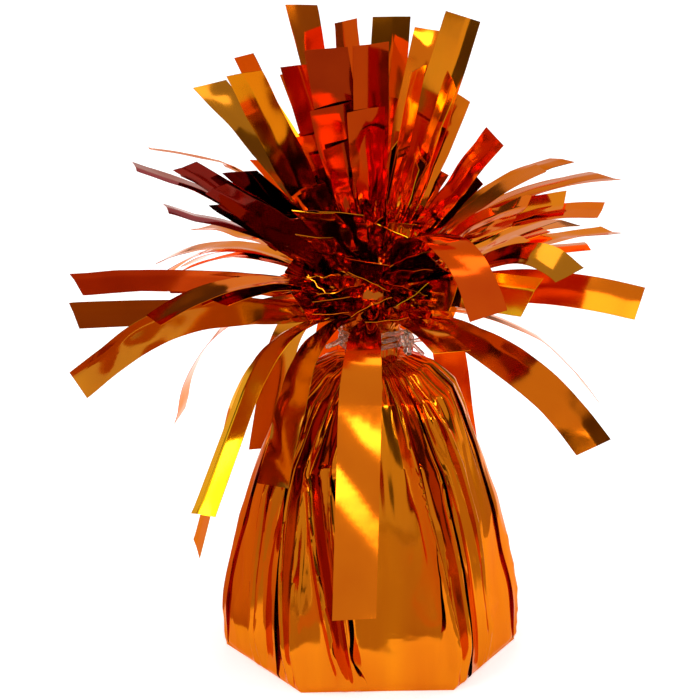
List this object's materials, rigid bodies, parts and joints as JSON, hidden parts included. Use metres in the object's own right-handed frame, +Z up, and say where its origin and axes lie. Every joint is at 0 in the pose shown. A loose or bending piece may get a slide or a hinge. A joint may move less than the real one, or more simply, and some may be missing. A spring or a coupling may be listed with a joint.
{
  "type": "foil balloon weight",
  "caption": "Hexagonal balloon weight wrapped in orange foil, gathered and tied at the neck, with a fringe of bending foil strips above the tie.",
  "frame": {"origin": "middle of the hexagonal foot, on the surface that the weight stands on", "axes": "+Z up through the neck, -Y out of the front face of the foot, +X to the right seen from the front"},
  "size_m": [0.1114, 0.0976, 0.1274],
  "materials": {
    "wrap_foil": "mirror-bright metallised film",
    "gather_foil": "crumpled metallised film",
    "fringe_foil": "mirror-bright metallised film",
    "clear_tie": "clear elastic",
    "tub_plastic": "plain moulded",
    "mortar": "rough"
  },
  "bodies": {
    "weight": {"foil_wrap": "wrap_foil", "weight_tub": "tub_plastic", "base_cap": "tub_plastic", "mortar_fill": "mortar", "gathered_core": "gather_foil", "tie_winding": "clear_tie", "tie_knot": "clear_tie"},
    "crown_right_strips": {"crown_strip_01": "fringe_foil"},
    "crown_back_right_strips": {"crown_strip_02": "fringe_foil", "crown_strip_03": "fringe_foil"},
    "crown_back_strips": {"crown_strip_04": "fringe_foil", "crown_strip_05": "fringe_foil"},
    "crown_left_strips": {"crown_strip_06": "fringe_foil", "crown_strip_07": "fringe_foil"},
    "crown_front_strips": {"crown_strip_08": "fringe_foil", "crown_strip_09": "fringe_foil"},
    "crown_front_right_strips": {"crown_strip_10": "fringe_foil", "crown_strip_11": "fringe_foil"},
    "top_left_strips": {"top_strip_01": "fringe_foil", "top_strip_02": "fringe_foil", "top_strip_03": "fringe_foil"},
    "top_back_right_strips": {"top_strip_04": "fringe_foil"},
    "top_right_strips": {"top_strip_05": "fringe_foil"},
    "upper_back_left_strips": {"upper_strip_01": "fringe_foil", "upper_strip_06": "fringe_foil"},
    "upper_left_strips": {"upper_strip_02": "fringe_foil", "upper_strip_03": "fringe_foil"},
    "upper_right_strips": {"upper_strip_04": "fringe_foil", "upper_strip_05": "fringe_foil"},
    "upper_back_strips": {"upper_strip_07": "fringe_foil", "upper_strip_08": "fringe_foil"},
    "upper_loop_strips": {"upper_strip_09": "fringe_foil"},
    "upper_front_strips": {"upper_strip_10": "fringe_foil"},
    "middle_left_strips": {"middle_strip_01": "fringe_foil", "middle_strip_03": "fringe_foil"},
    "middle_back_left_strips": {"middle_strip_02": "fringe_foil", "middle_strip_11": "fringe_foil"},
    "middle_right_strips": {"middle_strip_04": "fringe_foil", "middle_strip_06": "fringe_foil", "middle_strip_08": "fringe_foil"},
    "middle_front_right_strips": {"middle_strip_05": "fringe_foil", "middle_strip_07": "fringe_foil"},
    "middle_back_strips": {"middle_strip_09": "fringe_foil", "middle_strip_10": "fringe_foil"},
    "lower_left_strips": {"lower_strip_01": "fringe_foil", "lower_strip_02": "fringe_foil"},
    "lower_back_left_strips": {"lower_strip_03": "fringe_foil"},
    "lower_front_left_strips": {"lower_strip_04": "fringe_foil", "lower_strip_05": "fringe_foil", "lower_strip_06": "fringe_foil"},
    "lower_front_strips": {"lower_strip_07": "fringe_foil"},
    "lower_front_right_strips": {"lower_strip_08": "fringe_foil", "lower_strip_09": "fringe_foil"},
    "lower_right_strips": {"lower_strip_10": "fringe_foil"},
    "lower_back_right_strips": {"lower_strip_11": "fringe_foil", "lower_strip_12": "fringe_foil"},
    "lower_back_strips": {"lower_strip_13": "fringe_foil", "lower_strip_14": "fringe_foil"}
  },
  "joints": [
    {"name": "crown_right_bend", "type": "hinge", "parent": "weight", "child": "crown_right_strips", "pos_m": [0.00467, 0.00082, 0.0834], "axis": [0.1736, -0.9848, 0], "range_deg": [-8, 6], "stiffness_Nm_per_rad": 0.003},
    {"name": "crown_back_right_bend", "type": "hinge", "parent": "weight", "child": "crown_back_right_strips", "pos_m": [0.00246, 0.00393, 0.0834], "axis": [0.8478, -0.5304, 0], "range_deg": [-8, 5], "stiffness_Nm_per_rad": 0.006},
    {"name": "crown_back_bend", "type": "hinge", "parent": "weight", "child": "crown_back_strips", "pos_m": [-0.00234, 0.00398, 0.0834], "axis": [0.862, 0.5068, 0], "range_deg": [-8, 3], "stiffness_Nm_per_rad": 0.006},
    {"name": "crown_left_bend", "type": "hinge", "parent": "weight", "child": "crown_left_strips", "pos_m": [-0.00462, -0.00049, 0.0834], "axis": [-0.1046, 0.9945, 0], "range_deg": [-5, 5], "stiffness_Nm_per_rad": 0.006},
    {"name": "crown_front_bend", "type": "hinge", "parent": "weight", "child": "crown_front_strips", "pos_m": [-0.00158, -0.00435, 0.0834], "axis": [-0.9397, 0.342, 0], "range_deg": [-8, 3], "stiffness_Nm_per_rad": 0.006},
    {"name": "crown_front_right_bend", "type": "hinge", "parent": "weight", "child": "crown_front_right_strips", "pos_m": [0.00328, -0.00328, 0.0834], "axis": [-0.7072, -0.707, 0], "range_deg": [-8, 5], "stiffness_Nm_per_rad": 0.006},
    {"name": "top_left_bend", "type": "hinge", "parent": "weight", "child": "top_left_strips", "pos_m": [-0.00673, -0.00019, 0.0805], "axis": [-0.0281, 0.9996, 0], "range_deg": [-3, 3], "stiffness_Nm_per_rad": 0.009},
    {"name": "top_back_right_bend", "type": "hinge", "parent": "weight", "child": "top_back_right_strips", "pos_m": [0.00433, 0.00516, 0.0805], "axis": [0.766, -0.6428, 0], "range_deg": [-12, 10], "stiffness_Nm_per_rad": 0.003},
    {"name": "top_right_bend", "type": "hinge", "parent": "weight", "child": "top_right_strips", "pos_m": [0.00633, -0.00256, 0.0805], "axis": [-0.3746, -0.9272, 0], "range_deg": [-12, 12], "stiffness_Nm_per_rad": 0.003},
    {"name": "upper_back_left_bend", "type": "hinge", "parent": "weight", "child": "upper_back_left_strips", "pos_m": [-0.00562, 0.00597, 0.0775], "axis": [0.728, 0.6855, 0], "range_deg": [-15, 3], "stiffness_Nm_per_rad": 0.006},
    {"name": "upper_left_bend", "type": "hinge", "parent": "weight", "child": "upper_left_strips", "pos_m": [-0.00797, -0.00173, 0.0775], "axis": [-0.2127, 0.9771, 0], "range_deg": [-15, 3], "stiffness_Nm_per_rad": 0.006},
    {"name": "upper_right_bend", "type": "hinge", "parent": "weight", "child": "upper_right_strips", "pos_m": [0.00803, 0.00041, 0.0775], "axis": [0.0511, -0.9987, 0], "range_deg": [-10, 15], "stiffness_Nm_per_rad": 0.006},
    {"name": "upper_back_bend", "type": "hinge", "parent": "weight", "child": "upper_back_strips", "pos_m": [0.00056, 0.00798, 0.0775], "axis": [0.9976, -0.0698, 0], "range_deg": [-15, 15], "stiffness_Nm_per_rad": 0.006},
    {"name": "upper_loop_bend", "type": "hinge", "parent": "weight", "child": "upper_loop_strips", "pos_m": [0.00325, -0.00731, 0.0775], "axis": [-0.9135, -0.4067, 0], "range_deg": [-15, 20], "stiffness_Nm_per_rad": 0.003},
    {"name": "upper_front_bend", "type": "hinge", "parent": "weight", "child": "upper_front_strips", "pos_m": [-0.003, -0.00742, 0.0775], "axis": [-0.9272, 0.3746, 0], "range_deg": [-15, 20], "stiffness_Nm_per_rad": 0.003},
    {"name": "middle_left_bend", "type": "hinge", "parent": "weight", "child": "middle_left_strips", "pos_m": [-0.00808, -0.00157, 0.0735], "axis": [-0.1902, 0.9817, 0], "range_deg": [-4, 15], "stiffness_Nm_per_rad": 0.006},
    {"name": "middle_back_left_bend", "type": "hinge", "parent": "weight", "child": "middle_back_left_strips", "pos_m": [-0.00637, 0.00516, 0.0735], "axis": [0.6293, 0.7771, 0], "range_deg": [-20, 20], "stiffness_Nm_per_rad": 0.006},
    {"name": "middle_right_bend", "type": "hinge", "parent": "weight", "child": "middle_right_strips", "pos_m": [0.00809, 0.00151, 0.0735], "axis": [0.1835, -0.983, 0], "range_deg": [-20, 10], "stiffness_Nm_per_rad": 0.009},
    {"name": "middle_front_right_bend", "type": "hinge", "parent": "weight", "child": "middle_front_right_strips", "pos_m": [0.00666, -0.00502, 0.0735], "axis": [-0.6022, -0.7984, 0], "range_deg": [-20, 5], "stiffness_Nm_per_rad": 0.006},
    {"name": "middle_back_bend", "type": "hinge", "parent": "weight", "child": "middle_back_strips", "pos_m": [0.00163, 0.00804, 0.0735], "axis": [0.9799, -0.1994, 0], "range_deg": [-20, 20], "stiffness_Nm_per_rad": 0.006},
    {"name": "lower_left_bend", "type": "hinge", "parent": "weight", "child": "lower_left_strips", "pos_m": [-0.00723, -0.00007, 0.069], "axis": [-0.0091, 1, 0], "range_deg": [-20, 4], "stiffness_Nm_per_rad": 0.006},
    {"name": "lower_back_left_bend", "type": "hinge", "parent": "weight", "child": "lower_back_left_strips", "pos_m": [-0.00626, 0.00361, 0.069], "axis": [0.5, 0.866, 0], "range_deg": [-20, 25], "stiffness_Nm_per_rad": 0.003},
    {"name": "lower_front_left_bend", "type": "hinge", "parent": "weight", "child": "lower_front_left_strips", "pos_m": [-0.00584, -0.00424, 0.069], "axis": [-0.588, 0.8089, 0], "range_deg": [-10, 20], "stiffness_Nm_per_rad": 0.009},
    {"name": "lower_front_bend", "type": "hinge", "parent": "weight", "child": "lower_front_strips", "pos_m": [-0.00088, -0.00715, 0.069], "axis": [-0.9925, 0.1219, 0], "range_deg": [-10, 25], "stiffness_Nm_per_rad": 0.003},
    {"name": "lower_front_right_bend", "type": "hinge", "parent": "weight", "child": "lower_front_right_strips", "pos_m": [0.00511, -0.0051, 0.069], "axis": [-0.7064, -0.7078, 0], "range_deg": [-20, 25], "stiffness_Nm_per_rad": 0.006},
    {"name": "lower_right_bend", "type": "hinge", "parent": "weight", "child": "lower_right_strips", "pos_m": [0.00718, 0.0005, 0.069], "axis": [0.0698, -0.9976, 0], "range_deg": [-20, 20], "stiffness_Nm_per_rad": 0.003},
    {"name": "lower_back_right_bend", "type": "hinge", "parent": "weight", "child": "lower_back_right_strips", "pos_m": [0.00281, 0.00663, 0.069], "axis": [0.9205, -0.3907, 0], "range_deg": [-10, 25], "stiffness_Nm_per_rad": 0.006},
    {"name": "lower_back_bend", "type": "hinge", "parent": "weight", "child": "lower_back_strips", "pos_m": [-0.00281, 0.00663, 0.069], "axis": [0.9205, 0.3907, 0], "range_deg": [-10, 25], "stiffness_Nm_per_rad": 0.006}
  ]
}
